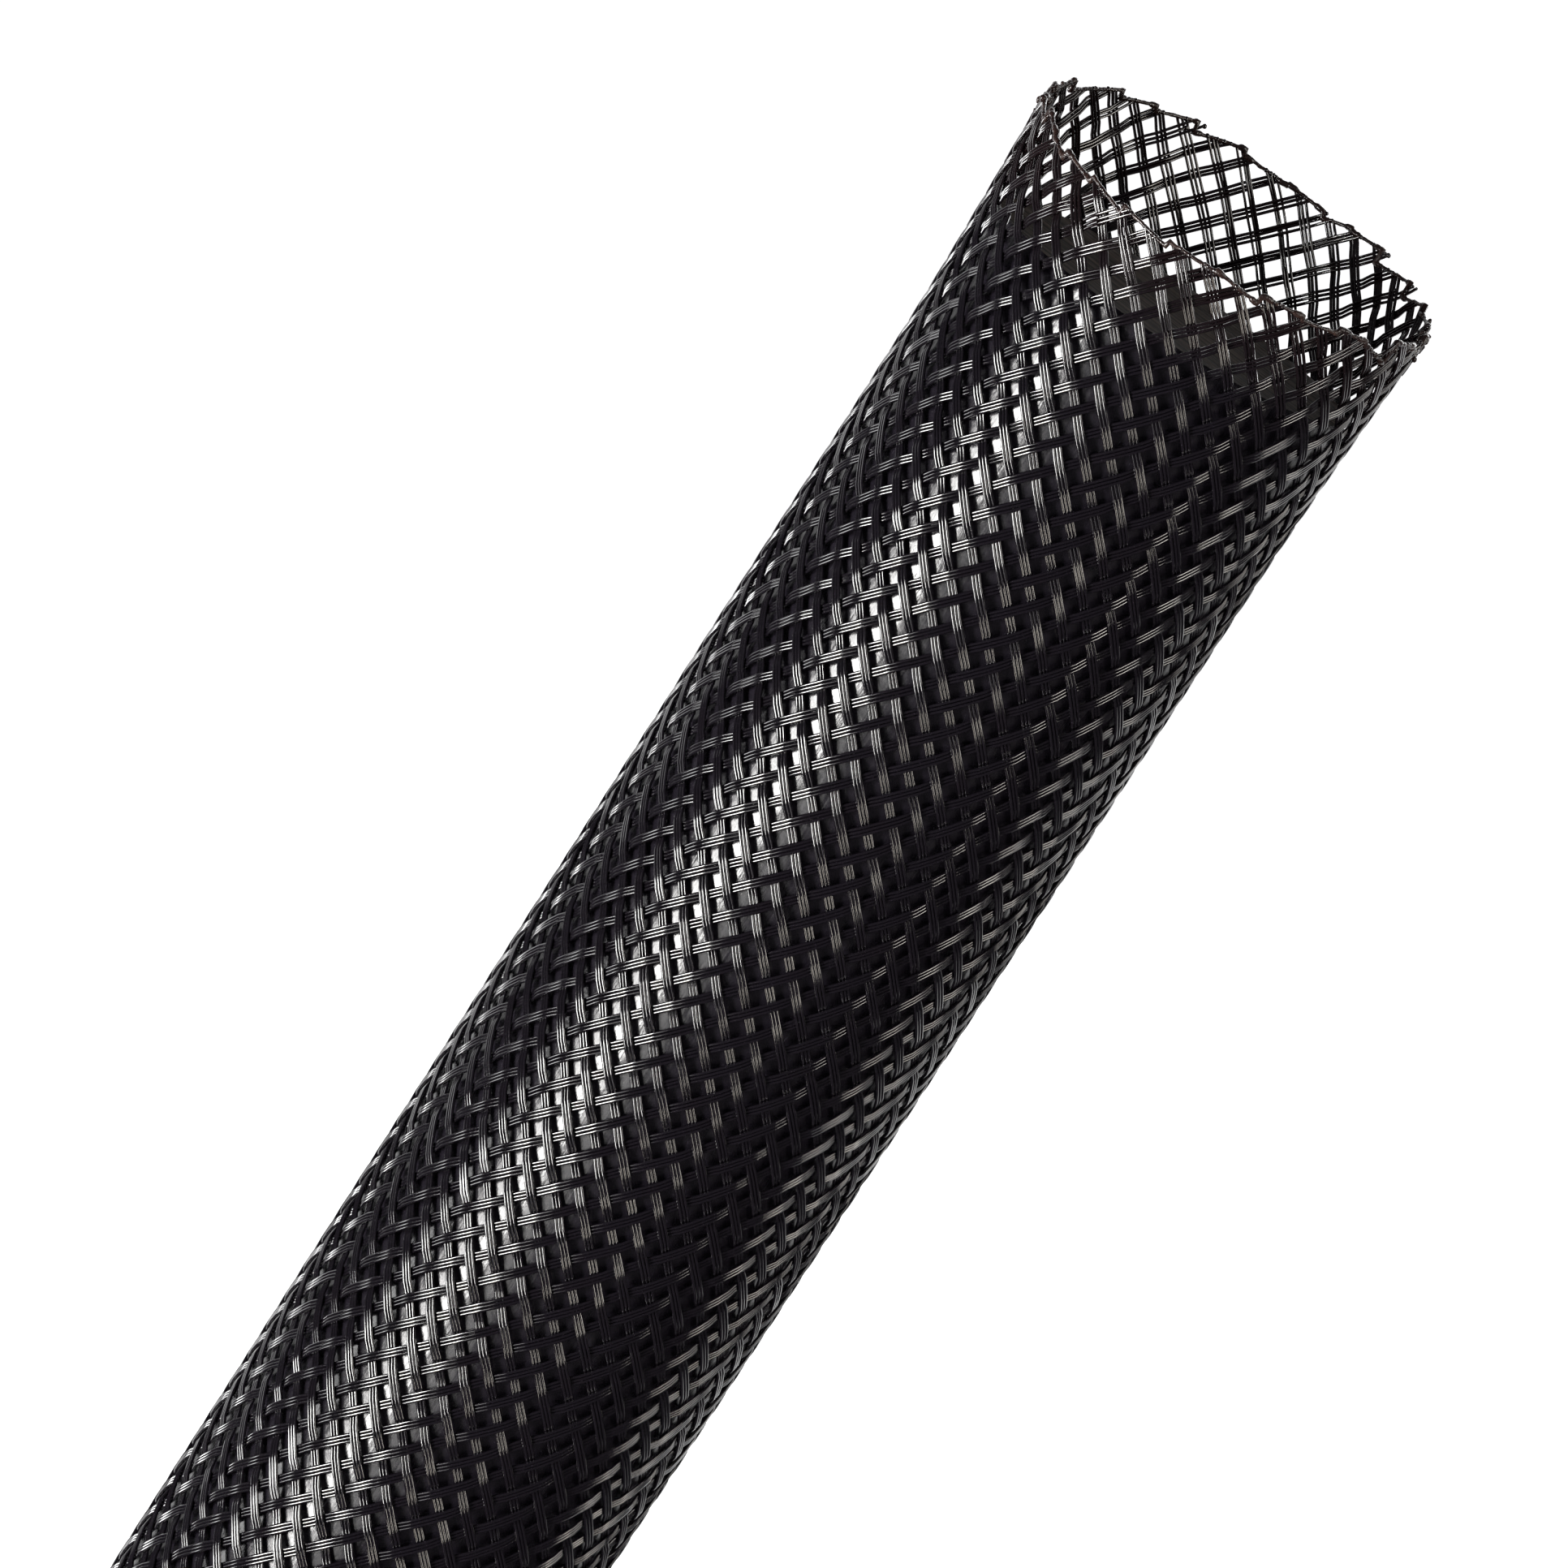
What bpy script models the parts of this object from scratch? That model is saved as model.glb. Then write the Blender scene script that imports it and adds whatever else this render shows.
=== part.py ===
"""Braided cable sleeve on a round core rod, in metres, standing on its square end at z = 0.

The sleeve is an open tube of braided monofilament, two filaments thick where its yarns cross.
Its mouth, at the top, is cut a little out of square, lower towards -Y, and opens slightly.
The rod fills the sleeve from the square end, at the bottom, to a short way inside the mouth.
"""

import math

import bmesh
import bpy

# Sleeve
SLEEVE_LENGTH = 0.3048
SLEEVE_BORE = 0.03175
FILAMENT_DIAMETER = 0.000254
YARN_LAYERS = 2

# Mouth
MOUTH_FLARE = 0.00075
FLARE_LENGTH = 0.022
FLARE_POWER = 1.5
MOUTH_SLOPE = 0.129

# Core rod
ROD_CLEARANCE = 0.00035
ROD_SETBACK = 0.00857
ROD_CHAMFER = 0.0002

# How finely the round shapes are made
ROUND_SIDES = 80
FLARE_STEPS = 7
FACET_ANGLE = 2 * math.pi / ROUND_SIDES

WALL = YARN_LAYERS * FILAMENT_DIAMETER
BORE_RADIUS = SLEEVE_BORE / 2
SLEEVE_RADIUS = BORE_RADIUS + WALL
ROD_RADIUS = BORE_RADIUS - ROD_CLEARANCE

LONG_LIP_Z = SLEEVE_LENGTH
LIP_RADIUS = SLEEVE_RADIUS + MOUTH_FLARE
LIP_REACH = LIP_RADIUS * math.cos(FACET_ANGLE / 2)
MOUTH_CENTRE_Z = LONG_LIP_Z - MOUTH_SLOPE * LIP_REACH
ROD_END_Z = MOUTH_CENTRE_Z - ROD_SETBACK

BLACK_FILAMENT = (0.012, 0.012, 0.014)
BLACK_ROD = (0.02, 0.02, 0.022)


def clear_scene():
    """Remove whatever the file was opened with."""
    for thing in list(bpy.data.objects):
        bpy.data.objects.remove(thing)


def new_collection(name):
    """Add a collection to the scene."""
    collection = bpy.data.collections.new(name)
    bpy.context.scene.collection.children.link(collection)
    return collection


def plastic(name, colour, roughness):
    """Make a plain plastic material."""
    material = bpy.data.materials.new(name)
    material.use_nodes = True
    shader = material.node_tree.nodes["Principled BSDF"]
    shader.inputs["Base Color"].default_value = (*colour, 1)
    shader.inputs["Roughness"].default_value = roughness
    shader.inputs["Metallic"].default_value = 0
    return material


def flare_at(z):
    """Growth of the sleeve's radius at z, which rises smoothly towards the long lip."""
    share = max(0.0, 1 - (LONG_LIP_Z - z) / FLARE_LENGTH)
    return MOUTH_FLARE * share**FLARE_POWER


def sleeve_stations():
    """Heights where the sleeve's outline needs a point, from past the mouth to the square end."""
    past_the_lip = LONG_LIP_Z + MOUTH_SLOPE * LIP_REACH
    flare_start = LONG_LIP_Z - FLARE_LENGTH
    steps = [flare_start + FLARE_LENGTH * k / FLARE_STEPS for k in range(FLARE_STEPS + 1)]
    return [past_the_lip, *reversed(steps), 0.0]


def turned(name, outline, collection):
    """Turn a closed outline of (radius, z) points about the Z axis, with a facet facing each side."""
    half_facet = FACET_ANGLE / 2
    points = [(r * math.cos(half_facet), r * math.sin(half_facet), z) for r, z in outline]
    edges = [(k, (k + 1) % len(points)) for k in range(len(points))]
    mesh = bpy.data.meshes.new(name)
    mesh.from_pydata(points, edges, [])
    thing = bpy.data.objects.new(name, mesh)
    collection.objects.link(thing)
    screw = thing.modifiers.new("Turn", "SCREW")
    screw.axis = "Z"
    screw.angle = 2 * math.pi
    screw.steps = ROUND_SIDES
    screw.render_steps = ROUND_SIDES
    screw.use_merge_vertices = True
    screw.merge_threshold = 0.00001
    return thing


def mouth_cutter(collection):
    """A block whose underside lies in the plane of the mouth's slanted cut."""
    size = 4 * LIP_RADIUS
    tilt = math.atan(MOUTH_SLOPE)
    mesh = bpy.data.meshes.new("mouth_cutter")
    block = bmesh.new()
    bmesh.ops.create_cube(block, size=size)
    block.to_mesh(mesh)
    block.free()
    cutter = bpy.data.objects.new("mouth_cutter", mesh)
    cutter.hide_render = True
    cutter.display_type = "WIRE"
    cutter.rotation_euler = (tilt, 0, 0)
    reach = size / 2
    cutter.location = (0, -reach * math.sin(tilt), MOUTH_CENTRE_Z + reach * math.cos(tilt))
    collection.objects.link(cutter)
    return cutter


def braided_sleeve(parts, cutters):
    """The sleeve: a thin tube that opens at the mouth, which is cut at a slant."""
    stations = sleeve_stations()
    outside = [(SLEEVE_RADIUS + flare_at(z), z) for z in stations]
    inside = [(BORE_RADIUS + flare_at(z), z) for z in reversed(stations)]
    sleeve = turned("braided_sleeve", outside + inside, parts)
    cut = sleeve.modifiers.new("Mouth cut", "BOOLEAN")
    cut.operation = "DIFFERENCE"
    cut.solver = "EXACT"
    cut.object = mouth_cutter(cutters)
    sleeve.data.materials.append(plastic("black_filament", BLACK_FILAMENT, 0.3))
    return sleeve


def core_rod(parts):
    """The rod: a solid round bar with sawn ends and barely broken edges."""
    mesh = bpy.data.meshes.new("core_rod")
    bar = bmesh.new()
    bmesh.ops.create_cone(
        bar,
        cap_ends=True,
        segments=ROUND_SIDES,
        radius1=ROD_RADIUS,
        radius2=ROD_RADIUS,
        depth=ROD_END_Z,
    )
    bar.to_mesh(mesh)
    bar.free()
    mesh.shade_smooth()
    mesh.set_sharp_from_angle(angle=math.radians(30))
    rod = bpy.data.objects.new("core_rod", mesh)
    parts.objects.link(rod)
    chamfer = rod.modifiers.new("Broken edges", "BEVEL")
    chamfer.width = ROD_CHAMFER
    chamfer.segments = 1
    chamfer.limit_method = "ANGLE"
    chamfer.angle_limit = math.radians(60)
    rod.location = (0, 0, ROD_END_Z / 2)
    rod.data.materials.append(plastic("black_rod", BLACK_ROD, 0.35))
    return rod


def main():
    """Build the sleeve and the rod that fills it."""
    clear_scene()
    parts = new_collection("braided_cable_sleeve")
    cutters = new_collection("cutters")
    braided_sleeve(parts, cutters)
    core_rod(parts)


main()
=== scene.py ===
"""The looks of a braided cable sleeve on a round core rod, standing on its square end.

The sleeve is braided from two lays of yarns that wind round the rod in opposite directions, and a
yarn is three black filaments side by side. Each yarn passes over two of the other lay and under
the next two. The mouth of the sleeve is cut with a hot knife, a little out of square.

Lengths are in metres. Angles round the sleeve start at its front, -Y, and grow towards +X.
"""

import logging
import math
import random
from dataclasses import dataclass
from enum import Enum
from typing import Any

import bpy
from mathutils import Matrix, Vector


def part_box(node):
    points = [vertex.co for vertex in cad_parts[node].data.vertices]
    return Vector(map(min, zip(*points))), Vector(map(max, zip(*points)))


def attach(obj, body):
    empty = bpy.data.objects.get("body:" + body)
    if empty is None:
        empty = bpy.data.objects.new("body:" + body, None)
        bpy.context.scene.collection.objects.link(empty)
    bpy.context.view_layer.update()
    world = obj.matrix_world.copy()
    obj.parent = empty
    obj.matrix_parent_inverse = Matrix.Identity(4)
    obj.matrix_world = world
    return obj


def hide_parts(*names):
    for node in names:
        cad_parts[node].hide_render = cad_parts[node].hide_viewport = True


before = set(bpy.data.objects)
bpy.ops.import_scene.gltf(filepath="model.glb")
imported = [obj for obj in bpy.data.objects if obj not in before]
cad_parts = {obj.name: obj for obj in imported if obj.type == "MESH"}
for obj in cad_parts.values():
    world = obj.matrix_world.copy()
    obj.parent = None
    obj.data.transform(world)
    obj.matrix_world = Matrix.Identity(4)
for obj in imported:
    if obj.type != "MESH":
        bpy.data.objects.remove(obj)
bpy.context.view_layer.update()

LOG = logging.getLogger("braided_cable_sleeve")
Colour = tuple[float, float, float]
Direction = tuple[float, float, float]


class Wire:
    """A value on its way through a node tree. Python's operators on it add Math nodes."""

    def __init__(self, bench: "Bench", socket: bpy.types.NodeSocket) -> None:
        """Keep the socket that gives the value, and the bench that can add nodes after it."""
        self.bench = bench
        self.socket = socket

    def __add__(self, other: "Wire | float") -> "Wire":
        """Add."""
        return self.bench.math("ADD", self, other)

    def __radd__(self, other: float) -> "Wire":
        """Add to a number."""
        return self.bench.math("ADD", other, self)

    def __sub__(self, other: "Wire | float") -> "Wire":
        """Take away."""
        return self.bench.math("SUBTRACT", self, other)

    def __rsub__(self, other: float) -> "Wire":
        """Take away from a number."""
        return self.bench.math("SUBTRACT", other, self)

    def __mul__(self, other: "Wire | float") -> "Wire":
        """Multiply."""
        return self.bench.math("MULTIPLY", self, other)

    def __rmul__(self, other: float) -> "Wire":
        """Multiply a number."""
        return self.bench.math("MULTIPLY", other, self)

    def __truediv__(self, other: "Wire | float") -> "Wire":
        """Divide."""
        return self.bench.math("DIVIDE", self, other)

    def __mod__(self, other: "Wire | float") -> "Wire":
        """Remainder, which is never negative."""
        return self.bench.math("FLOORED_MODULO", self, other)

    def __pow__(self, other: "Wire | float") -> "Wire":
        """Raise to a power."""
        return self.bench.math("POWER", self, other)

    def __lt__(self, other: "Wire | float") -> "Wire":
        """1 where this is the smaller, otherwise 0."""
        return self.bench.math("LESS_THAN", self, other)

    def __gt__(self, other: "Wire | float") -> "Wire":
        """1 where this is the larger, otherwise 0."""
        return self.bench.math("GREATER_THAN", self, other)

    def out(self, name: str) -> "Wire":
        """Another output of the node that gives this value."""
        return Wire(self.bench, self.socket.node.outputs[name])


class Bench:
    """Adds nodes to one tree, of shaders or of geometry, and joins them up."""

    def __init__(self, tree: bpy.types.NodeTree) -> None:
        """Keep the tree that the nodes go into."""
        self.tree = tree

    def add(
        self,
        kind: str,
        settings: dict[str, Any] | None = None,
        inputs: dict[str | int, Any] | None = None,
    ) -> Wire:
        """Add one node.

        Args:
            kind: The node's type.
            settings: What is set on the node first, such as its operation. How many items an index
                switch has is given as "items".
            inputs: A value or a wire for each input, by its name or its place.

        Returns:
            The node's first output in use.
        """
        node = self.tree.nodes.new(kind)
        for name, value in (settings or {}).items():
            if name == "items":
                while len(node.index_switch_items) < value:
                    node.index_switch_items.new()
            else:
                setattr(node, name, value)
        for name, value in (inputs or {}).items():
            self.feed(self._input(node, name), value)
        return Wire(self, next(socket for socket in node.outputs if socket.enabled))

    def feed(self, socket: bpy.types.NodeSocket, value: Any) -> None:
        """Join a wire to an input, or set the input's own value."""
        if isinstance(value, list):
            for wire in value:
                self.tree.links.new(wire.socket, socket)
        elif isinstance(value, Wire):
            self.tree.links.new(value.socket, socket)
        elif isinstance(value, tuple) and socket.type == "RGBA" and len(value) == 3:
            socket.default_value = (*value, 1.0)
        else:
            socket.default_value = value

    def math(self, operation: str, *values: "Wire | float") -> Wire:
        """Add a Math node."""
        return self.add("ShaderNodeMath", {"operation": operation}, dict(enumerate(values)))

    def vector(self, x: "Wire | float", y: "Wire | float", z: "Wire | float") -> Wire:
        """Join three numbers into a vector."""
        return self.add("ShaderNodeCombineXYZ", inputs={"X": x, "Y": y, "Z": z})

    def clamp(self, value: Wire) -> Wire:
        """Hold a value between 0 and 1."""
        return self.add("ShaderNodeClamp", inputs={"Value": value})

    def smooth_step(self, value: Wire, low: "Wire | float", high: "Wire | float") -> Wire:
        """Rise smoothly from 0 at low to 1 at high."""
        share = self.clamp((value - low) / (high - low))
        return share * share * (3.0 - 2.0 * share)

    def noise(self, vector: Wire, scale: float, detail: float = 0.0) -> Wire:
        """Soft noise that swings about between -1 and 1."""
        inputs = {"Vector": vector, "Scale": scale, "Detail": detail}
        return self.add("ShaderNodeTexNoise", inputs=inputs) * 2.0 - 1.0

    def blend(self, share: Wire, first: Colour, second: Colour) -> Wire:
        """Mix two colours: the first where the share is 0, the second where it is 1."""
        inputs = {"Factor": share, "A": first, "B": second}
        return self.add("ShaderNodeMix", {"data_type": "RGBA"}, inputs)

    def bump(self, strength: float, depth: float, height: Wire) -> Wire:
        """Tilt the surface's normal by a height from 0 to 1, which is so many metres deep."""
        inputs = {"Strength": strength, "Distance": depth, "Height": height}
        return self.add("ShaderNodeBump", inputs=inputs)

    @staticmethod
    def _input(node: bpy.types.Node, name: str | int) -> bpy.types.NodeSocket:
        """Find an input in use by its name, or any input by its place."""
        if isinstance(name, int):
            return node.inputs[name]
        return next(s for s in node.inputs if s.enabled and name in (s.name, s.identifier))


class Recipe:
    """A Geometry Nodes tree with named inputs, which is grown into plain meshes."""

    def __init__(self, name: str) -> None:
        """Start an empty tree."""
        self.tree = bpy.data.node_groups.new(name, "GeometryNodeTree")
        self.tree.interface.new_socket("Geometry", in_out="OUTPUT", socket_type="NodeSocketGeometry")
        self.bench = Bench(self.tree)
        self.source = self.tree.nodes.new("NodeGroupInput")
        self.identifiers: dict[str, str] = {}

    def _input(self, name: str, kind: str) -> Wire:
        """Add a named input to the tree."""
        made = self.tree.interface.new_socket(name, in_out="INPUT", socket_type=kind)
        self.identifiers[name] = made.identifier
        return Wire(self.bench, self.source.outputs[name])

    def number(self, name: str) -> Wire:
        """Add an input for a size or a share."""
        return self._input(name, "NodeSocketFloat")

    def count(self, name: str) -> Wire:
        """Add an input for a whole number."""
        return self._input(name, "NodeSocketInt")

    def roughen(self, geometry: Wire, scale: float, amount: float) -> Wire:
        """Push a surface in and out by soft noise.

        Args:
            geometry: Meshes, or instances of one.
            scale: How fine the noise is, in waves to the metre.
            amount: How far it pushes at most.

        Returns:
            The meshes.
        """
        real = self.bench.add("GeometryNodeRealizeInstances", inputs={"Geometry": geometry})
        place = self.bench.add("GeometryNodeInputPosition")
        push = self.bench.noise(place, scale, 1.0) * amount
        offset = self.bench.add(
            "ShaderNodeVectorMath",
            {"operation": "SCALE"},
            {"Vector": self.bench.add("GeometryNodeInputNormal"), "Scale": push},
        )
        return self.bench.add("GeometryNodeSetPosition", inputs={"Geometry": real, "Offset": offset})

    def finish(self, *parts: Wire) -> None:
        """End the tree: real meshes, smooth, with their material."""
        coat = self._input("Material", "NodeSocketMaterial")
        joined = self.bench.add("GeometryNodeJoinGeometry", inputs={"Geometry": list(parts)})
        real = self.bench.add("GeometryNodeRealizeInstances", inputs={"Geometry": joined})
        smooth = self.bench.add("GeometryNodeSetShadeSmooth", inputs={"Geometry": real})
        dressed = self.bench.add(
            "GeometryNodeSetMaterial", inputs={"Geometry": smooth, "Material": coat}
        )
        self.bench.feed(self.tree.nodes.new("NodeGroupOutput").inputs["Geometry"], dressed)

    def grow(self, name: str, values: dict[str, Any]) -> bpy.types.Object:
        """Run the tree once and keep the result as a plain mesh.

        Args:
            name: The new piece's name.
            values: A value for each named input.

        Returns:
            The piece, at the origin.
        """
        seed = bpy.data.objects.new(name + "_seed", bpy.data.meshes.new(name + "_seed"))
        bpy.context.scene.collection.objects.link(seed)
        modifier = seed.modifiers.new(self.tree.name, "NODES")
        modifier.node_group = self.tree
        for label, value in values.items():
            modifier[self.identifiers[label]] = value
        graph = bpy.context.evaluated_depsgraph_get()
        mesh = bpy.data.meshes.new_from_object(seed.evaluated_get(graph), depsgraph=graph)
        mesh.name = name
        bpy.data.objects.remove(seed)
        return put_in_scene(name, mesh)


def put_in_scene(name: str, mesh: bpy.types.Mesh | bpy.types.Curve) -> bpy.types.Object:
    """Make an object of a mesh and link it to the scene."""
    piece = bpy.data.objects.new(name, mesh)
    bpy.context.scene.collection.objects.link(piece)
    return piece


def settle(piece: bpy.types.Object, node: str) -> None:
    """Let a piece ride on the body and stand for a CAD node, and report it."""
    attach(piece, "root")
    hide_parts(node)
    piece.data.calc_loop_triangles()
    LOG.info("%s: %d triangles", piece.name, len(piece.data.loop_triangles))


@dataclass(frozen=True)
class Sleeve:
    """The sleeve's sizes, which are those of the CAD solids."""

    length: float = 0.3048
    bore: float = 0.03175
    filament: float = 0.000254
    mouth_flare: float = 0.00075
    flare_length: float = 0.022
    flare_power: float = 1.5
    mouth_slope: float = 0.129
    round_sides: int = 80

    @property
    def mid_radius(self) -> float:
        """Radius of the surface that the two lays of yarns weave about."""
        return self.bore / 2 + self.filament

    @property
    def mouth_centre(self) -> float:
        """Height of the slanted mouth on the sleeve's axis."""
        lip = self.bore / 2 + 2 * self.filament + self.mouth_flare
        return self.length - self.mouth_slope * lip * math.cos(math.pi / self.round_sides)


class Lay(Enum):
    """The two ways in which the yarns wind."""

    RIGHT = 1
    LEFT = -1


class Place(Enum):
    """The three filaments of a yarn."""

    FIRST = -1
    MIDDLE = 0
    LAST = 1


@dataclass(frozen=True)
class Pattern:
    """How the sleeve is braided: a yarn passes over two yarns of the other lay, then under two.

    A yarn's way through one repeat is a list of (crossings, lift) pairs. It crosses the other lay at
    each whole number, and its lift is in filament diameters.
    """

    yarns: int = 40
    pitch: float = 0.002777
    turn: float = math.radians(6.25)
    rise: float = -0.0012
    way: tuple[tuple[float, float], ...] = (
        (-0.3, 0.42),
        (0.2, 0.55),
        (0.8, 0.55),
        (1.3, 0.42),
        (1.8, -0.5),
        (3.2, -0.5),
    )
    repeat: int = 4
    section_sides: int = 5
    section_swell: float = 1.06


@dataclass(frozen=True)
class Looseness:
    """How far the yarns and filaments stray from the perfect braid.

    Gaps and spreads are shares of the distance between a yarn's filaments, strays are shares of a
    filament's thickness, and a yarn wanders so many metres. All of them grow towards the mouth.
    """

    gap: float = -0.01
    spread: float = 0.06
    mouth_spread: float = 0.42
    wander: float = 0.00010
    mouth_wander: float = 0.00022
    stray: float = 0.05
    mouth_stray: float = 0.3
    mouth_reach: float = 0.011
    seed: float = 3.0


@dataclass(frozen=True)
class FilamentFinish:
    """Black extruded filament: smooth and glossy, and a little brown near the heated mouth."""

    name: str = "black_filament"
    colour: Colour = (0.0036, 0.0029, 0.0042)
    warm_colour: Colour = (0.0040, 0.0018, 0.0018)
    roughness: float = 0.09
    roughness_swing: float = 0.02
    refraction: float = 1.68
    warm_from: float = 0.291
    warm_to: float = 0.301
    patch_scale: float = 260.0
    streak_scale: float = 1800.0
    bump_strength: float = 0.03
    bump_depth: float = 0.00001

    def make(self) -> bpy.types.Material:
        """Build the material."""
        material, bench, shader = new_material(self.name)
        place = bench.add("ShaderNodeTexCoord").out("Object")
        height = bench.add("ShaderNodeSeparateXYZ", inputs={"Vector": place}).out("Z")
        patches = bench.noise(place, self.patch_scale, 2.0)
        near_mouth = bench.smooth_step(height, self.warm_from, self.warm_to)
        warm = bench.clamp(near_mouth * 0.8 + patches * 0.25)
        streaks = bench.noise(place, self.streak_scale, 3.0)
        bench.feed(shader.inputs["Base Color"], bench.blend(warm, self.colour, self.warm_colour))
        bench.feed(shader.inputs["Roughness"], self.roughness + streaks * self.roughness_swing)
        bench.feed(shader.inputs["Normal"], bench.bump(self.bump_strength, self.bump_depth, streaks))
        shader.inputs["IOR"].default_value = self.refraction
        return material


@dataclass(frozen=True)
class MeltedFinish:
    """Filament that the hot knife has melted: dark, glossy and lumpy."""

    name: str = "melted_filament"
    colour: Colour = (0.007, 0.004, 0.004)
    scorched: Colour = (0.024, 0.011, 0.008)
    roughness: float = 0.24
    roughness_swing: float = 0.3
    blotch_scale: float = 900.0
    lump_scale: float = 4200.0
    bump_strength: float = 0.5
    bump_depth: float = 0.00005

    def make(self) -> bpy.types.Material:
        """Build the material."""
        material, bench, shader = new_material(self.name)
        place = bench.add("ShaderNodeTexCoord").out("Object")
        blotches = bench.noise(place, self.blotch_scale, 3.0)
        scorch = bench.clamp(blotches * 0.8 + 0.3)
        roughness = self.roughness + bench.clamp(blotches) * self.roughness_swing
        lumps = bench.noise(place, self.lump_scale, 2.0)
        bench.feed(shader.inputs["Base Color"], bench.blend(scorch, self.colour, self.scorched))
        bench.feed(shader.inputs["Roughness"], roughness)
        bench.feed(shader.inputs["Normal"], bench.bump(self.bump_strength, self.bump_depth, lumps))
        return material


@dataclass(frozen=True)
class RodSideFinish:
    """The rod's drawn side: glossy black, with fine draw lines, scuffs and a faint orange peel."""

    name: str = "rod_side"
    colour: Colour = (0.0070, 0.0058, 0.0084)
    scuffed: Colour = (0.020, 0.018, 0.023)
    roughness: float = 0.20
    roughness_swing: float = 0.22
    refraction: float = 1.45
    line_stretch: float = 0.08
    line_scale: float = 3600.0
    peel_scale: float = 900.0
    patch_scale: float = 230.0
    bump_strength: float = 0.55
    bump_depth: float = 0.00004

    def make(self) -> bpy.types.Material:
        """Build the material."""
        material, bench, shader = new_material(self.name)
        place = bench.add("ShaderNodeTexCoord").out("Object")
        along = {"Vector": place, "Scale": (1.0, 1.0, self.line_stretch)}
        lines = bench.noise(bench.add("ShaderNodeMapping", inputs=along), self.line_scale, 4.0)
        peel = bench.noise(place, self.peel_scale, 3.0)
        patches = bench.noise(place, self.patch_scale, 3.0)
        scuffs = bench.clamp(patches * 2.4 - 0.5) * bench.clamp(lines * 2.0 + 0.3)
        roughness = self.roughness + bench.clamp(patches + lines * 0.5) * self.roughness_swing
        height = peel * 0.7 + lines * 0.3
        bench.feed(shader.inputs["Base Color"], bench.blend(scuffs, self.colour, self.scuffed))
        bench.feed(shader.inputs["Roughness"], roughness)
        bench.feed(shader.inputs["Normal"], bench.bump(self.bump_strength, self.bump_depth, height))
        shader.inputs["IOR"].default_value = self.refraction
        return material


@dataclass(frozen=True)
class RodEndFinish:
    """The rod's sawn end: dull and dark, with the straight marks of the saw."""

    name: str = "rod_end"
    colour: Colour = (0.004, 0.0028, 0.0022)
    bruised: Colour = (0.044, 0.033, 0.027)
    sheen: Colour = (1.0, 0.90, 0.82)
    roughness: float = 0.75
    roughness_swing: float = 0.12
    refraction: float = 1.1
    saw_angle: float = math.radians(30)
    mark_stretch: float = 0.05
    mark_scale: float = 1500.0
    broad_scale: float = 700.0
    bump_strength: float = 0.7
    bump_depth: float = 0.00006

    def make(self) -> bpy.types.Material:
        """Build the material."""
        material, bench, shader = new_material(self.name)
        place = bench.add("ShaderNodeTexCoord").out("Object")
        across = {"Vector": place, "Rotation": (0.0, 0.0, self.saw_angle)}
        turned = bench.add("ShaderNodeMapping", inputs=across)
        along = {"Vector": turned, "Scale": (self.mark_stretch, 1.0, 1.0)}
        drawn = bench.add("ShaderNodeMapping", inputs=along)
        marks = bench.noise(drawn, self.mark_scale, 3.0)
        broad = bench.noise(drawn, self.broad_scale, 2.0)
        bruises = bench.clamp(0.45 + marks * 2.2 + broad * 0.6)
        height = marks + broad * 0.5
        bench.feed(shader.inputs["Base Color"], bench.blend(bruises, self.colour, self.bruised))
        bench.feed(shader.inputs["Roughness"], self.roughness + marks * self.roughness_swing)
        bench.feed(shader.inputs["Normal"], bench.bump(self.bump_strength, self.bump_depth, height))
        shader.inputs["IOR"].default_value = self.refraction
        shader.inputs["Specular Tint"].default_value = (*self.sheen, 1.0)
        return material


@dataclass(frozen=True)
class FloorFinish:
    """A pale floor that glows by itself, painted light like a photographer's light table lit from
    below.

    It glows less near the foot of the sleeve. That is painted shade round the foot, and it also lets
    the lamps' real soft shadow of the foot show.
    """

    name: str = "pale_floor"
    colour: Colour = (0.9, 0.9, 0.9)
    near_glow: Colour = (0.55, 0.55, 0.55)
    far_glow: Colour = (1.0, 1.0, 1.0)
    near: float = 0.10
    far: float = 0.42
    roughness: float = 0.9

    def make(self) -> bpy.types.Material:
        """Build the material."""
        material, bench, shader = new_material(self.name)
        place = bench.add("ShaderNodeTexCoord").out("Object")
        away = bench.add("ShaderNodeVectorMath", {"operation": "LENGTH"}, {0: place})
        # Painted glow with painted shade: dimmer near the foot of the sleeve, full white further out.
        share = bench.smooth_step(away, self.near, self.far)
        glow = bench.blend(share, self.near_glow, self.far_glow)
        shader.inputs["Base Color"].default_value = (*self.colour, 1.0)
        shader.inputs["Roughness"].default_value = self.roughness
        shader.inputs["Emission Strength"].default_value = 1.0
        bench.feed(shader.inputs["Emission Color"], glow)
        return material


def new_material(name: str) -> tuple[bpy.types.Material, Bench, bpy.types.Node]:
    """Start a material.

    Args:
        name: The material's name.

    Returns:
        The material, a bench for its nodes, and its shader.
    """
    material = bpy.data.materials.new(name)
    material.use_nodes = True
    return material, Bench(material.node_tree), material.node_tree.nodes["Principled BSDF"]


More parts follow.
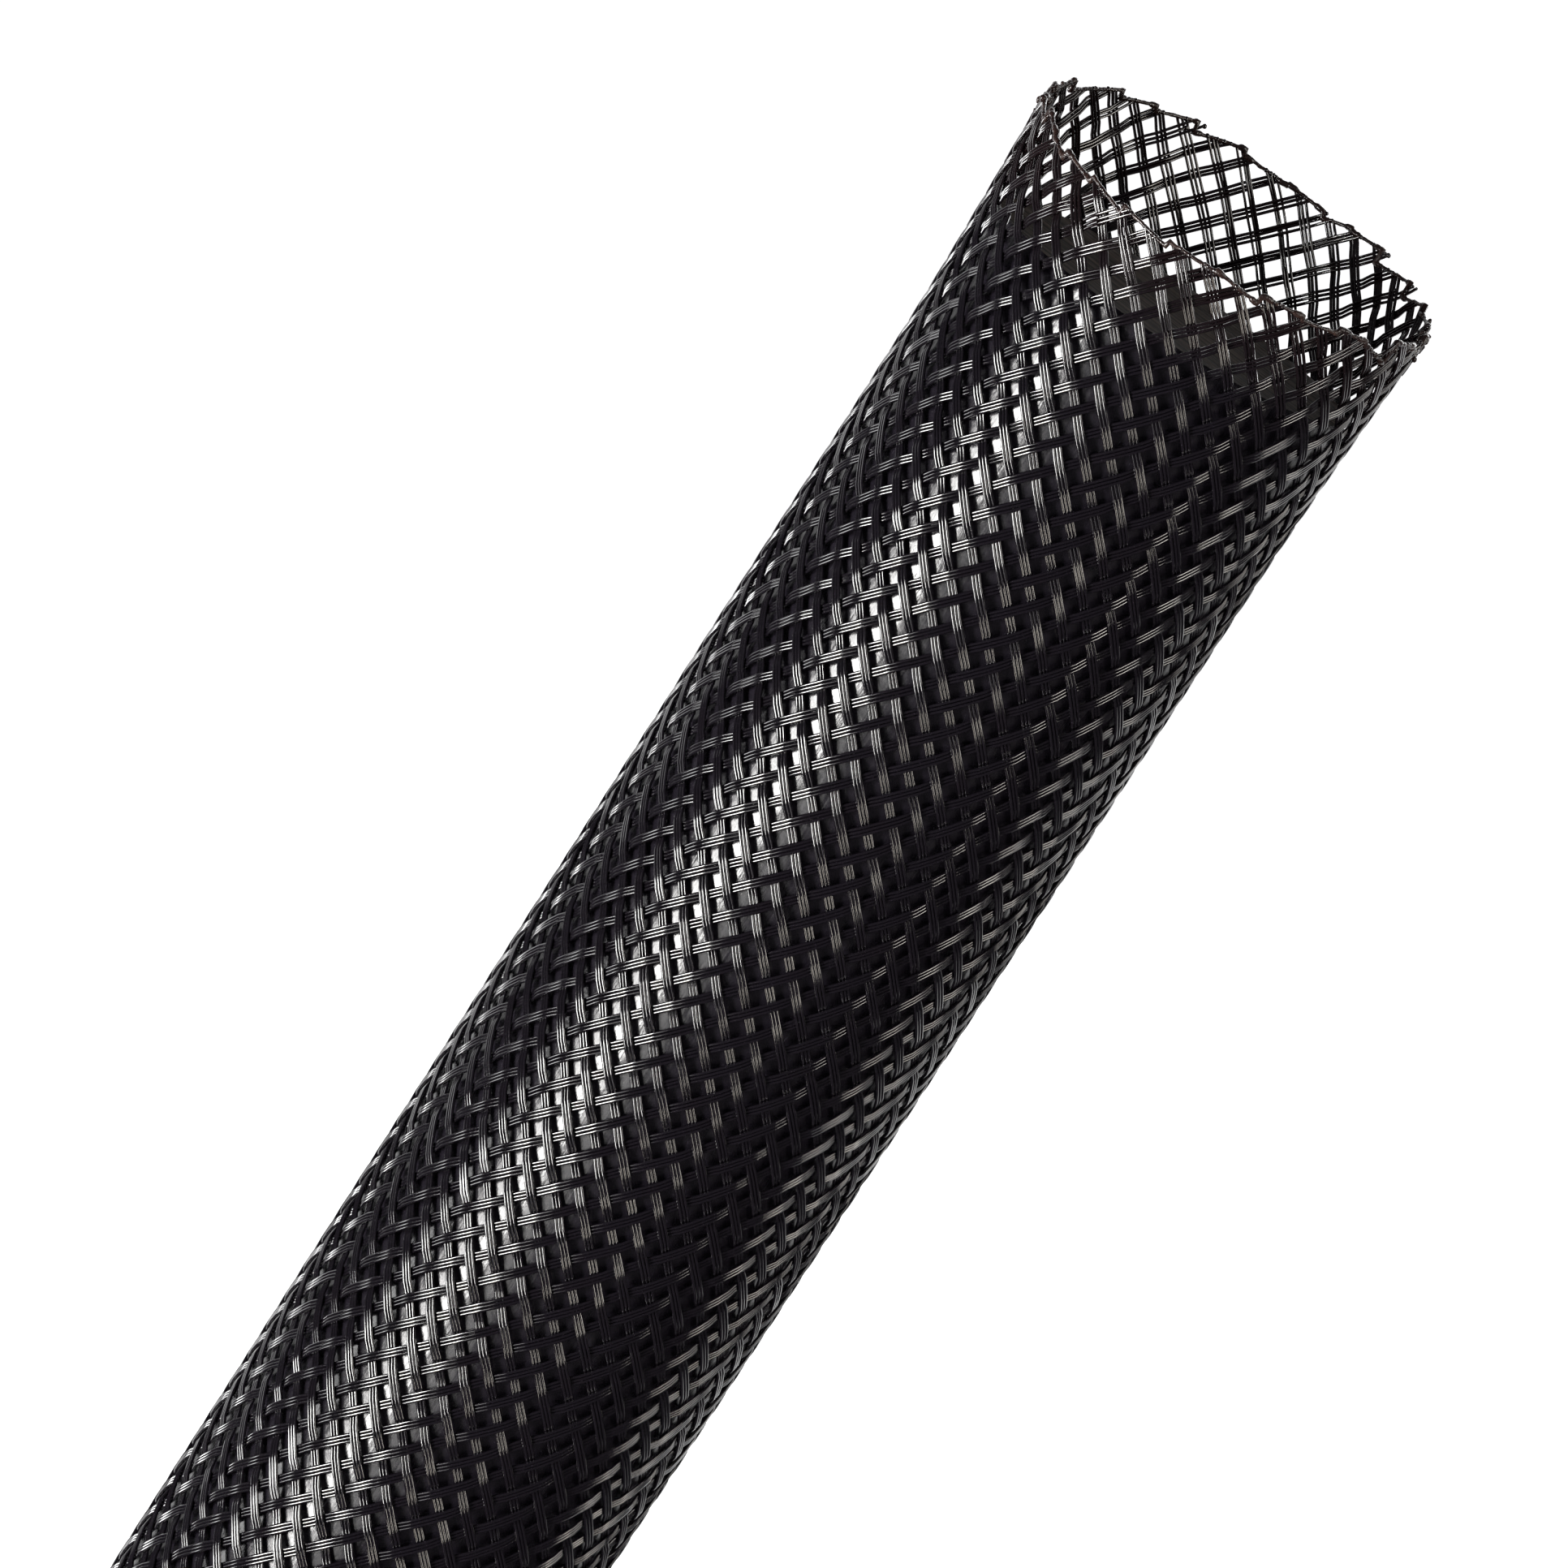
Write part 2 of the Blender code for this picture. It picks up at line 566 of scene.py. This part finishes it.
@dataclass
class Mouth:
    """The line of the hot knife's cut round the mouth, shared by the yarns and the melted rim.

    The cut is made of short runs, so many to the radian, each a little higher or lower than the
    last and leaning its own way. Some runs end at a notch where the melted rim is broken.
    """

    sleeve: Sleeve
    runs: float = 4.6
    step: float = 0.0005
    lean: float = 0.007
    shared_lean: float = -0.0024
    ripple: float = 0.00010
    ripple_waves: float = 27.0
    notch: float = 0.042
    irregularity: float = 0.9
    seed: float = 3.0

    def flare(self, bench: Bench, height: Wire) -> Wire:
        """Growth of the sleeve's radius at a height."""
        share = bench.clamp(1.0 - (self.sleeve.length - height) / self.sleeve.flare_length)
        return self.sleeve.mouth_flare * share**self.sleeve.flare_power

    def run(self, bench: Bench, angle: Wire, feature: str) -> Wire:
        """The short run of the cut at an angle, as a cell of a pattern along one turn."""
        return bench.add(
            "ShaderNodeTexVoronoi",
            {"voronoi_dimensions": "1D", "feature": feature},
            {
                "W": angle % (2 * math.pi) + self.seed,
                "Scale": self.runs,
                "Randomness": self.irregularity,
            },
        )

    def tooth(self, bench: Bench, angle: Wire) -> Wire:
        """How far the cut departs from its plane: in short runs with a step from each to the next."""
        run = self.run(bench, angle, "F1")
        chance = bench.add("ShaderNodeSeparateXYZ", inputs={"Vector": run.out("Color")})
        along = angle % (2 * math.pi) + self.seed - run.out("W")
        lean = (chance.out("Y") - 0.5) * self.lean + self.shared_lean
        along_cut = angle % (2 * math.pi) * self.ripple_waves
        ripple = bench.noise(bench.vector(along_cut, self.seed, 0.0), 1.0, 1.0)
        return (chance.out("X") - 0.5) * self.step + along * lean + ripple * self.ripple

    def past_notch(self, bench: Bench, angle: Wire) -> Wire:
        """Angle from the notch at the nearer end of a run, below zero inside the notch."""
        run = self.run(bench, angle, "F1")
        chance = bench.add("ShaderNodeSeparateXYZ", inputs={"Vector": run.out("Color")}).out("Z")
        to_end = self.run(bench, angle, "DISTANCE_TO_EDGE") / self.runs
        return to_end - bench.clamp(chance * 2.2 - 0.5) * self.notch

    def height(self, bench: Bench, angle: Wire) -> Wire:
        """Height of the cut at an angle round the sleeve."""
        reach = self.sleeve.mid_radius + self.sleeve.mouth_flare
        front = bench.math("COSINE", angle) * reach
        return self.sleeve.mouth_centre - self.sleeve.mouth_slope * front + self.tooth(bench, angle)

    def place(self, bench: Bench, angle: Wire, level: Wire, outwards: "Wire | float") -> Wire:
        """A point on the sleeve's middle surface, or a little outwards of it."""
        out = self.sleeve.mid_radius + self.flare(bench, level) + outwards
        return bench.vector(
            out * bench.math("SINE", angle), out * bench.math("COSINE", angle) * -1.0, level
        )


@dataclass
class Braid:
    """The two lays of yarns, one piece for each lay and each of a yarn's three filaments."""

    sleeve: Sleeve
    pattern: Pattern
    loose: Looseness
    mouth: Mouth
    foot_height: float = 0.00014
    end_margin: float = 0.02
    end_taper: float = 1.2
    bead_smallest: float = 0.42
    bead_largest: float = 0.85
    bead_lumps: float = 5200.0
    bead_lump_height: float = 0.00006

    def along_way(self, bench: Bench, sample: Wire, column: int) -> Wire:
        """Read the crossings, or the lift, of a sample from the yarn's way through one repeat."""
        values = {str(k): pair[column] for k, pair in enumerate(self.pattern.way)}
        return bench.add(
            "GeometryNodeIndexSwitch",
            {"data_type": "FLOAT", "items": len(values)},
            {"Index": sample % float(len(values)), **values},
        )

    def crossings(self, bench: Bench, sample: Wire, yarn: Wire, lay: Wire) -> Wire:
        """Count the crossings from the foot to a sample of a filament."""
        cycle = bench.math("FLOOR", sample / len(self.pattern.way))
        start = (yarn * lay * -2.0 + (1.0 - lay) * 0.5) % self.pattern.repeat
        return self.along_way(bench, sample, 0) + (cycle - 1.0) * self.pattern.repeat + start

    def recipe(self) -> Recipe:
        """Write the rule of the braid as a tree.

        Returns:
            The tree, with the lay, the filament's place in its yarn and the seed left open.
        """
        recipe = Recipe("braid")
        bench = recipe.bench
        lay, place = recipe.number("Lay"), recipe.number("Place")
        seed = recipe.number("Seed")
        diameter, radius = recipe.number("Filament Diameter"), recipe.number("Mid Radius")
        pitch, turn = recipe.number("Pitch"), recipe.number("Turn")
        yarns, samples = recipe.count("Yarns"), recipe.count("Samples")

        line = bench.add("GeometryNodeCurvePrimitiveLine")
        line = bench.add("GeometryNodeResampleCurve", inputs={"Curve": line, "Count": samples})
        strands = bench.add(
            "GeometryNodeDuplicateElements",
            {"domain": "SPLINE"},
            {"Geometry": line, "Amount": yarns},
        )
        of_curve = bench.add("GeometryNodeCurveOfPoint")
        yarn, sample = of_curve.out("Curve Index"), of_curve.out("Index in Curve")

        # Each yarn reads the noise at a place of its own, far enough from the next yarn's.
        half = pitch * 0.5
        slant = bench.math("ARCTAN2", radius * (math.pi / self.pattern.yarns), half)
        crossing = self.crossings(bench, sample, yarn, lay)
        noise_at = bench.vector(yarn * 3.7 + seed, crossing * 0.11, lay * 5.0)
        loose_at = bench.vector(yarn * 5.3 + seed, crossing * 0.3, place * 4.1 + lay)
        height = crossing * half + self.pattern.rise
        near_mouth = bench.smooth_step(
            height, self.sleeve.mouth_centre - self.loose.mouth_reach, self.sleeve.mouth_centre
        )
        spread = 1.0 + self.loose.gap
        spread = spread + bench.clamp(bench.noise(noise_at, 1.0) * 1.4) * self.loose.spread
        opened_at = bench.vector(yarn * 2.1, seed + place * 7.7, lay * 3.0)
        opened = bench.clamp(bench.noise(opened_at, 1.0) * 2.4 + 0.25)
        spread = spread + near_mouth * opened * self.loose.mouth_spread
        wander = bench.noise(bench.vector(yarn * 1.9 + seed, crossing * 0.16, lay), 1.0)
        aside = place * diameter * spread
        aside = aside + wander * (self.loose.wander + near_mouth * self.loose.mouth_wander)
        stray = self.loose.stray + near_mouth * self.loose.mouth_stray
        aside = aside + bench.noise(loose_at, 1.0) * diameter * stray

        round_step = aside / (bench.math("COSINE", slant) * 2.0 * radius)
        along_step = lay * aside / (bench.math("SINE", slant) * -2.0)

        def angle_of(count: Wire) -> Wire:
            """Angle round the sleeve where a filament has passed so many crossings."""
            return (yarn * 2.0 + lay * count) * (math.pi / self.pattern.yarns) + turn + round_step

        def count_of(level: "Wire | float") -> Wire:
            """Crossings that a filament has passed at a height."""
            return (level - self.pattern.rise - along_step) / half

        first = count_of(self.foot_height)
        last = count_of(self.sleeve.mouth_centre)
        for _ in range(3):
            last = count_of(self.mouth.height(bench, angle_of(last)))

        before = self.crossings(bench, sample - 1.0, yarn, lay)
        after = self.crossings(bench, sample + 1.0, yarn, lay)
        below_foot = after < first + self.end_margin
        past_mouth = before > last - self.end_margin
        beyond = bench.math("MAXIMUM", below_foot, past_mouth)
        held = bench.math("MINIMUM", bench.math("MAXIMUM", crossing, first), last)
        level = held * half + self.pattern.rise + along_step
        angle = angle_of(held)
        lift = self.along_way(bench, sample, 1) * diameter
        from_mouth = bench.clamp((last - held) * self.end_taper)
        from_foot = bench.clamp((held - first) * self.end_taper)
        where = self.mouth.place(bench, angle, level, lift * (from_mouth * from_foot))
        strands = bench.add("GeometryNodeSetPosition", inputs={"Geometry": strands, "Position": where})
        strands = bench.add(
            "GeometryNodeDeleteGeometry",
            {"domain": "POINT"},
            {"Geometry": strands, "Selection": beyond},
        )
        thick = diameter * (self.pattern.section_swell / 2)
        section = bench.add(
            "GeometryNodeCurvePrimitiveCircle",
            inputs={"Resolution": self.pattern.section_sides, "Radius": thick},
        )
        tubes = bench.add(
            "GeometryNodeCurveToMesh",
            inputs={"Curve": strands, "Profile Curve": section, "Fill Caps": True},
        )
        recipe.finish(tubes, self.beads(recipe, strands, diameter))
        return recipe

    def beads(self, recipe: Recipe, strands: Wire, diameter: Wire) -> Wire:
        """The bead that the hot knife leaves on each filament's end at the mouth.

        Args:
            recipe: The tree that the beads are added to.
            strands: The filaments' curves, which end at the mouth.
            diameter: Thickness of a filament.

        Returns:
            The beads as a mesh.
        """
        bench = recipe.bench
        at_mouth = bench.add(
            "GeometryNodeCurveEndpointSelection", inputs={"Start Size": 0, "End Size": 1}
        )
        ball = bench.add("GeometryNodeMeshIcoSphere", inputs={"Radius": diameter, "Subdivisions": 2})
        sizes = {"Min": self.bead_smallest, "Max": self.bead_largest, "Seed": 5}
        swell = bench.add("FunctionNodeRandomValue", inputs=sizes)
        placed = bench.add(
            "GeometryNodeInstanceOnPoints",
            inputs={"Points": strands, "Selection": at_mouth, "Instance": ball, "Scale": swell},
        )
        return recipe.roughen(placed, self.bead_lumps, self.bead_lump_height)

    def build(self, coat: bpy.types.Material) -> None:
        """Grow the six pieces of the braid."""
        recipe = self.recipe()
        repeats = self.sleeve.length / (self.pattern.pitch / 2) / self.pattern.repeat
        samples = len(self.pattern.way) * (math.ceil(repeats) + 2)
        for lay in Lay:
            for place in Place:
                piece = recipe.grow(
                    f"yarns_{lay.name.lower()}_{place.name.lower()}_filament",
                    {
                        "Lay": float(lay.value),
                        "Place": float(place.value),
                        "Seed": self.loose.seed,
                        "Filament Diameter": self.sleeve.filament,
                        "Mid Radius": self.sleeve.mid_radius,
                        "Pitch": self.pattern.pitch,
                        "Turn": self.pattern.turn,
                        "Yarns": self.pattern.yarns,
                        "Samples": samples,
                        "Material": coat,
                    },
                )
                settle(piece, "braided_sleeve")


@dataclass
class MeltedRim:
    """The melted thread along the cut at the mouth, with its knots, and the plain one at the foot."""

    sleeve: Sleeve
    mouth: Mouth
    thickness: float = 0.00018
    steps: int = 900
    sides: int = 7
    lumps: float = 30.0
    lump_height: float = 0.00008
    knob_reach: float = 0.016
    knob_swell: float = 0.55
    foot_height: float = 0.0003
    knots: int = 46
    knot_bunching: float = 0.45
    knot_round: tuple[float, float] = (-0.06, 0.06)
    knot_up: tuple[float, float] = (-0.0011, 0.0002)
    knot_outwards: tuple[float, float] = (-0.00035, 0.0003)
    knot_across: tuple[float, float] = (0.00012, 0.00026)
    knot_along: tuple[float, float] = (0.00015, 0.0004)
    knot_lumps: float = 3300.0
    knot_lump_height: float = 0.00012

    def thread(self) -> Recipe:
        """Write the rule of a melted thread as a tree."""
        recipe = Recipe("melted_thread")
        bench = recipe.bench
        seed, at_mouth = recipe.number("Seed"), recipe.number("At Mouth")
        foot = recipe.number("Foot Height")
        ring = bench.add("GeometryNodeMeshCircle", inputs={"Vertices": self.steps})
        angle = bench.add("GeometryNodeInputIndex") * (2 * math.pi / self.steps)
        level = foot + (self.mouth.height(bench, angle) - foot) * at_mouth
        lumps = bench.noise(bench.vector(angle * self.lumps, seed, 0.0), 1.0, 2.0)
        where = self.mouth.place(bench, angle, level, lumps * self.lump_height)
        ring = bench.add("GeometryNodeSetPosition", inputs={"Geometry": ring, "Position": where})
        past = bench.math("MAXIMUM", self.mouth.past_notch(bench, angle), 1.0 - at_mouth)
        knob = 1.0 - bench.smooth_step(past, 0.0, self.knob_reach)
        swell = bench.math("MAXIMUM", 0.85 + lumps * 0.4, 0.5) + knob * self.knob_swell
        ring = bench.add(
            "GeometryNodeStoreNamedAttribute",
            {"data_type": "FLOAT", "domain": "POINT"},
            {"Geometry": ring, "Name": "swell", "Value": swell},
        )
        ring = bench.add(
            "GeometryNodeDeleteGeometry",
            {"domain": "POINT"},
            {"Geometry": ring, "Selection": past < 0.0},
        )
        line = bench.add("GeometryNodeMeshToCurve", inputs={"Mesh": ring})
        section = bench.add(
            "GeometryNodeCurvePrimitiveCircle",
            inputs={"Resolution": self.sides, "Radius": self.thickness},
        )
        swelled = bench.add(
            "GeometryNodeInputNamedAttribute", {"data_type": "FLOAT"}, {"Name": "swell"}
        )
        shape = {"Curve": line, "Profile Curve": section, "Scale": swelled, "Fill Caps": True}
        recipe.finish(bench.add("GeometryNodeCurveToMesh", inputs=shape))
        return recipe

    def knot_rule(self) -> Recipe:
        """Write the rule of the knots as a tree: lumps of melted ends, gathered at the two sides."""
        recipe = Recipe("melted_knots")
        bench = recipe.bench
        count, seed = recipe.count("Count"), recipe.count("Seed")
        points = bench.add("GeometryNodePoints", inputs={"Count": count})
        index = bench.add("GeometryNodeInputIndex")

        def chance(low: float, high: float, draw: int) -> Wire:
            """A random number for each knot."""
            inputs = {"Min": low, "Max": high, "ID": index, "Seed": seed + float(draw)}
            return bench.add("FunctionNodeRandomValue", inputs=inputs)

        side = (index % 2.0) * math.pi + math.pi / 2
        bunched = chance(-1.0, 1.0, 1)
        angle = side + bunched * bunched * bunched * self.knot_bunching + chance(*self.knot_round, 2)
        level = self.mouth.height(bench, angle) + chance(*self.knot_up, 3)
        where = self.mouth.place(bench, angle, level, chance(*self.knot_outwards, 4))
        points = bench.add("GeometryNodeSetPosition", inputs={"Geometry": points, "Position": where})
        ball = bench.add("GeometryNodeMeshIcoSphere", inputs={"Radius": 1.0, "Subdivisions": 3})
        scale = bench.vector(
            chance(*self.knot_across, 5), chance(*self.knot_across, 6), chance(*self.knot_along, 7)
        )
        placed = bench.add(
            "GeometryNodeInstanceOnPoints",
            inputs={"Points": points, "Instance": ball, "Scale": scale},
        )
        recipe.finish(recipe.roughen(placed, self.knot_lumps, self.knot_lump_height))
        return recipe

    def build(self, coat: bpy.types.Material) -> None:
        """Grow both threads and the knots."""
        thread = self.thread()
        edges = (("mouth_melted_edge", 1.0, 2.0), ("foot_melted_edge", 0.0, 7.0))
        for name, at_mouth, seed in edges:
            values = {"Seed": seed, "At Mouth": at_mouth, "Foot Height": self.foot_height}
            edge = thread.grow(name, {**values, "Material": coat})
            settle(edge, "braided_sleeve")
        knots = self.knot_rule().grow(
            "mouth_melted_knots", {"Count": self.knots, "Seed": 11, "Material": coat}
        )
        settle(knots, "braided_sleeve")


@dataclass
class StrayEnds:
    """A few filament ends that the knife left loose, curled at the two sides of the mouth."""

    sleeve: Sleeve
    count: int = 10
    points: int = 16
    spread: float = 0.3
    shortest: float = 0.0018
    longest: float = 0.0045
    heading: tuple[float, float] = (-2.3, -0.8)
    outwards: tuple[float, float] = (-0.35, 0.12)
    curl: float = 260.0
    bend: float = 0.035
    seed: int = 8

    def path(self, chance: random.Random, side: float) -> list[Vector]:
        """Wander over the sleeve from its rim.

        Args:
            chance: Where the random numbers come from.
            side: Angle of the side of the mouth where the end is.

        Returns:
            The points of one filament's end.
        """
        angle = side + chance.uniform(-self.spread, self.spread)
        out = self.sleeve.mid_radius + self.sleeve.mouth_flare
        level = self.sleeve.mouth_centre - self.sleeve.mouth_slope * out * math.cos(angle)
        step = chance.uniform(self.shortest, self.longest) / self.points
        heading = chance.uniform(*self.heading)
        curl, bend = chance.uniform(-self.curl, self.curl), 0.0
        outwards = chance.uniform(*self.outwards)
        found = []
        for _ in range(self.points):
            found.append(Vector((out * math.sin(angle), -out * math.cos(angle), level)))
            bend += chance.uniform(-self.bend, self.bend)
            heading += curl * step + bend
            angle += math.cos(heading) * step / out
            level += math.sin(heading) * step
            out += outwards * step
        return found

    def build(self, coat: bpy.types.Material) -> None:
        """Bend the ends and join them into one piece."""
        chance = random.Random(self.seed)
        curve = bpy.data.curves.new("stray_filament_ends", "CURVE")
        curve.dimensions = "3D"
        curve.bevel_depth = self.sleeve.filament / 2
        curve.bevel_resolution = 2
        curve.use_fill_caps = True
        for number in range(self.count):
            found = self.path(chance, math.pi / 2 + (number % 2) * math.pi)
            spline = curve.splines.new("POLY")
            spline.points.add(len(found) - 1)
            for point, where in zip(spline.points, found):
                point.co = (*where, 1.0)
        curve.materials.append(coat)
        bent = put_in_scene("stray_curve", curve)
        graph = bpy.context.evaluated_depsgraph_get()
        mesh = bpy.data.meshes.new_from_object(bent.evaluated_get(graph), depsgraph=graph)
        bpy.data.objects.remove(bent)
        mesh.name = "stray_filament_ends"
        mesh.shade_smooth()
        settle(put_in_scene("stray_filament_ends", mesh), "braided_sleeve")


@dataclass
class CoreRod:
    """The solid rod inside the sleeve, with barely broken edges at its sawn ends."""

    radius: float = 0.015525
    chamfer: float = 0.0002
    sides: int = 240
    sharp_angle: float = math.radians(30)

    def build(self, side: bpy.types.Material, end: bpy.types.Material) -> None:
        """Turn the rod between the ends of its CAD node."""
        low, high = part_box("core_rod")
        outline = [
            (self.radius - self.chamfer, low.z),
            (self.radius, low.z + self.chamfer),
            (self.radius, high.z - self.chamfer),
            (self.radius - self.chamfer, high.z),
        ]
        sides = self.sides
        turns = [2 * math.pi * k / sides for k in range(sides)]
        points = [(r * math.sin(a), -r * math.cos(a), z) for r, z in outline for a in turns]
        faces = []
        for low_ring in range(0, len(points) - sides, sides):
            for k in range(sides):
                here, beside = low_ring + k, low_ring + (k + 1) % sides
                faces.append((here, beside, beside + sides, here + sides))
        faces.append(tuple(reversed(range(sides))))
        faces.append(tuple(range(len(points) - sides, len(points))))
        mesh = bpy.data.meshes.new("solid_core_rod")
        mesh.from_pydata(points, [], faces)
        mesh.materials.append(side)
        mesh.materials.append(end)
        for face in mesh.polygons[-2:]:
            face.material_index = 1
        mesh.shade_smooth()
        mesh.set_sharp_from_angle(angle=self.sharp_angle)
        settle(put_in_scene("solid_core_rod", mesh), "core_rod")


@dataclass(frozen=True)
class View:
    """Where the photograph was taken from, in the sleeve's own frame.

    How far the camera is away, and how far above the mouth, are in radii of the sleeve.
    """

    right: Direction = (0.839118, 0.122892, 0.529885)
    up: Direction = (-0.543881, 0.174074, 0.820909)
    back: Direction = (0.008644, -0.977034, 0.212907)
    radius: float = 0.016383
    away: float = 36.889
    above: float = 4.6765
    lens: float = 187.1
    sensor: float = 36.0
    nearest: float = 0.02
    farthest: float = 60.0

    def towards(self, side: float, up: float) -> Vector:
        """Direction of what stands to the side of the camera and above it.

        Args:
            side: Degrees to the right of the camera, as its picture shows it.
            up: Degrees above the camera.

        Returns:
            The direction from the sleeve, of length 1.
        """
        side, up = math.radians(side), math.radians(up)
        across = Vector(self.right) * math.sin(side) + Vector(self.back) * math.cos(side)
        return across * math.cos(up) + Vector(self.up) * math.sin(up)


@dataclass(frozen=True)
class Softbox:
    """One soft light round the sleeve, upright as the camera sees it.

    It stands so many degrees to the right of the camera and above it, as seen from the sleeve, and
    so many metres from the sleeve. It is so many degrees wide and tall there.
    """

    name: str
    side: float
    up: float
    distance: float
    wide: float
    tall: float
    radiance: float
    colour: Colour = (1.0, 1.0, 1.0)


SOFTBOXES = (
    Softbox("left_softbox", -47.5, 5.5, 0.9, 8.0, 18.0, 82.0, (1.0, 0.99, 0.97)),
    Softbox("left_lower_softbox", -53.0, -10.0, 0.9, 8.0, 13.0, 60.0, (1.0, 0.99, 0.97)),
    Softbox("left_outer_softbox", -59.0, 7.0, 0.95, 10.0, 16.0, 28.0, (1.0, 0.99, 0.97)),
    Softbox("left_inner_softbox", -35.0, -14.0, 0.95, 8.0, 20.0, 5.0, (1.0, 0.99, 0.97)),
    Softbox("left_warm_softbox", -45.0, -36.0, 0.9, 8.0, 13.0, 17.0, (1.0, 0.93, 0.80)),
    Softbox("left_side_softbox", -80.0, 0.0, 1.1, 8.0, 26.0, 12.0),
    Softbox("left_back_softbox", -116.0, -4.0, 1.1, 10.0, 14.0, 26.0),
    Softbox("right_softbox", 45.0, 9.0, 0.9, 10.0, 15.0, 13.0, (1.0, 0.96, 0.90)),
    Softbox("right_lower_softbox", 50.0, -17.0, 0.9, 9.0, 17.0, 19.0, (1.0, 0.94, 0.85)),
    Softbox("right_side_softbox", 85.0, 0.0, 1.1, 12.0, 30.0, 6.0, (1.0, 0.95, 0.88)),
    Softbox("right_back_softbox", 150.0, 14.0, 1.1, 12.0, 30.0, 6.0),
    Softbox("backdrop_glow", 180.0, 0.0, 1.2, 110.0, 100.0, 1.1),
)


@dataclass
class Studio:
    """The floor, the lights and the camera."""

    sleeve: Sleeve
    view: View = View()
    boxes: tuple[Softbox, ...] = SOFTBOXES
    target_drop: float = 0.05
    floor_reach: float = 9.0
    fill: Colour = (0.95, 0.88, 1.0)
    fill_strength: float = 0.06

    def floor(self, coat: bpy.types.Material) -> None:
        """Lay the floor."""
        mesh = bpy.data.meshes.new("floor")
        reach = self.floor_reach
        corners = [(-reach, -reach, 0), (reach, -reach, 0), (reach, reach, 0), (-reach, reach, 0)]
        mesh.from_pydata(corners, [], [(0, 1, 2, 3)])
        mesh.materials.append(coat)
        floor = put_in_scene("floor", mesh)
        floor.visible_glossy = False
        floor.visible_shadow = False

    def light(self, box: Softbox) -> None:
        """Set up one softbox, which faces the upper part of the sleeve."""
        away = self.view.towards(box.side, box.up)
        across = Vector(self.view.up).cross(away).normalized()
        turned = Matrix((across, away.cross(across), away)).transposed()
        target = Vector((0.0, 0.0, self.sleeve.mouth_centre - self.target_drop))
        lamp = bpy.data.lights.new(box.name, "AREA")
        lamp.shape = "RECTANGLE"
        lamp.size = 2 * box.distance * math.tan(math.radians(box.wide / 2))
        lamp.size_y = 2 * box.distance * math.tan(math.radians(box.tall / 2))
        lamp.energy = box.radiance * math.pi * lamp.size * lamp.size_y
        lamp.color = box.colour
        thing = bpy.data.objects.new(box.name, lamp)
        thing.matrix_world = Matrix.Translation(target + away * box.distance) @ turned.to_4x4()
        thing.visible_camera = False
        bpy.context.scene.collection.objects.link(thing)

    def surroundings(self) -> None:
        """Fill in from all round, dimly."""
        world = bpy.data.worlds.new("surroundings")
        world.use_nodes = True
        background = world.node_tree.nodes["Background"]
        background.inputs["Color"].default_value = (*self.fill, 1.0)
        background.inputs["Strength"].default_value = self.fill_strength
        bpy.context.scene.world = world

    def camera(self) -> None:
        """Place the camera where the photograph was taken from."""
        view = self.view
        turned = Matrix((view.right, view.up, view.back)).transposed().to_4x4()
        above = self.sleeve.mouth_centre + view.above * view.radius
        lens = bpy.data.cameras.new("camera")
        lens.lens = view.lens
        lens.sensor_width = view.sensor
        lens.clip_start = view.nearest
        lens.clip_end = view.farthest
        camera = bpy.data.objects.new("camera", lens)
        eye = Vector((0.0, -view.away * view.radius, above))
        camera.matrix_world = Matrix.Translation(eye) @ turned
        bpy.context.scene.collection.objects.link(camera)
        bpy.context.scene.camera = camera

    def build(self, coat: bpy.types.Material) -> None:
        """Set up the whole studio."""
        self.floor(coat)
        self.surroundings()
        for box in self.boxes:
            self.light(box)
        self.camera()
        bpy.context.scene.view_settings.view_transform = "Standard"
        LOG.info("studio: %d softboxes", len(self.boxes))


def main() -> None:
    """Dress the sleeve and the rod, and set up the studio."""
    logging.basicConfig(level=logging.INFO, format="%(name)s: %(message)s")
    sleeve = Sleeve()
    mouth = Mouth(sleeve)
    Studio(sleeve).build(FloorFinish().make())
    filament = FilamentFinish().make()
    Braid(sleeve, Pattern(), Looseness(), mouth).build(filament)
    MeltedRim(sleeve, mouth).build(MeltedFinish().make())
    StrayEnds(sleeve).build(filament)
    CoreRod().build(RodSideFinish().make(), RodEndFinish().make())


if __name__ == "__main__":
    main()
